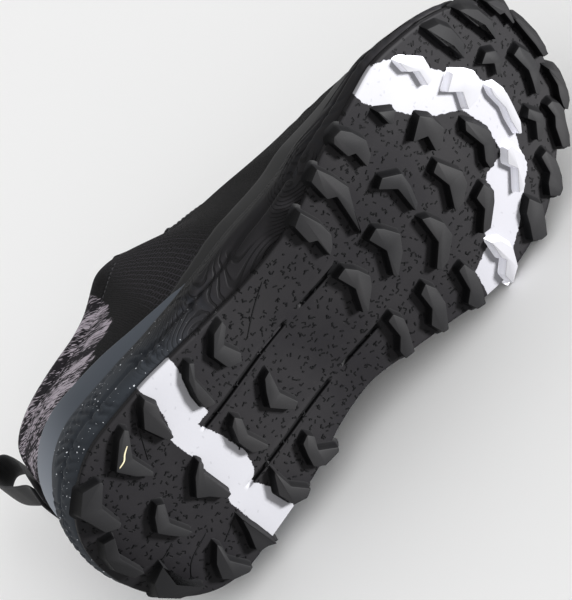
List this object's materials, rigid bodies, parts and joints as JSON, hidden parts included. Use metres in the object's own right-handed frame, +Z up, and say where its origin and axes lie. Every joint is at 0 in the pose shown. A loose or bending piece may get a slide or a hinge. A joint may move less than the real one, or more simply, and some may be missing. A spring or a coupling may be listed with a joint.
{
  "type": "trail running shoe",
  "caption": "Left trail running shoe lying on its outer side, with a lugged rubber sole, a stepped foam midsole, a hollow knit upper, crossed laces and a heel pull loop.",
  "frame": {"origin": "on the floor, under the centre of the box of the lying shoe", "axes": "+X runs forward along the sole to the toe, +Z is up from the floor that the shoe lies on, and -Y is the side that the tread faces"},
  "size_m": [0.2956, 0.1584, 0.1174],
  "materials": {
    "outsole_rubber": "matte black moulded rubber with white bands",
    "midsole_foam": "dark blue-grey moulded foam with white speckles",
    "insole_fabric": "dark brushed fabric",
    "upper_knit": "grey and black melange knit with black film overlays",
    "cradle_film": "smooth satin grey-blue band",
    "guard_rubber": "satin black moulded film",
    "tongue_fabric": "black padded fabric",
    "lace_cord": "black woven lace",
    "loop_webbing": "black woven ribbon"
  },
  "bodies": {
    "root": {"outsole": "outsole_rubber", "midsole": "midsole_foam", "insole": "insole_fabric", "upper": "upper_knit", "heel_cradle": "cradle_film", "toe_guard": "guard_rubber", "tongue": "tongue_fabric", "laces": "lace_cord", "pull_loop": "loop_webbing"}
  },
  "joints": []
}
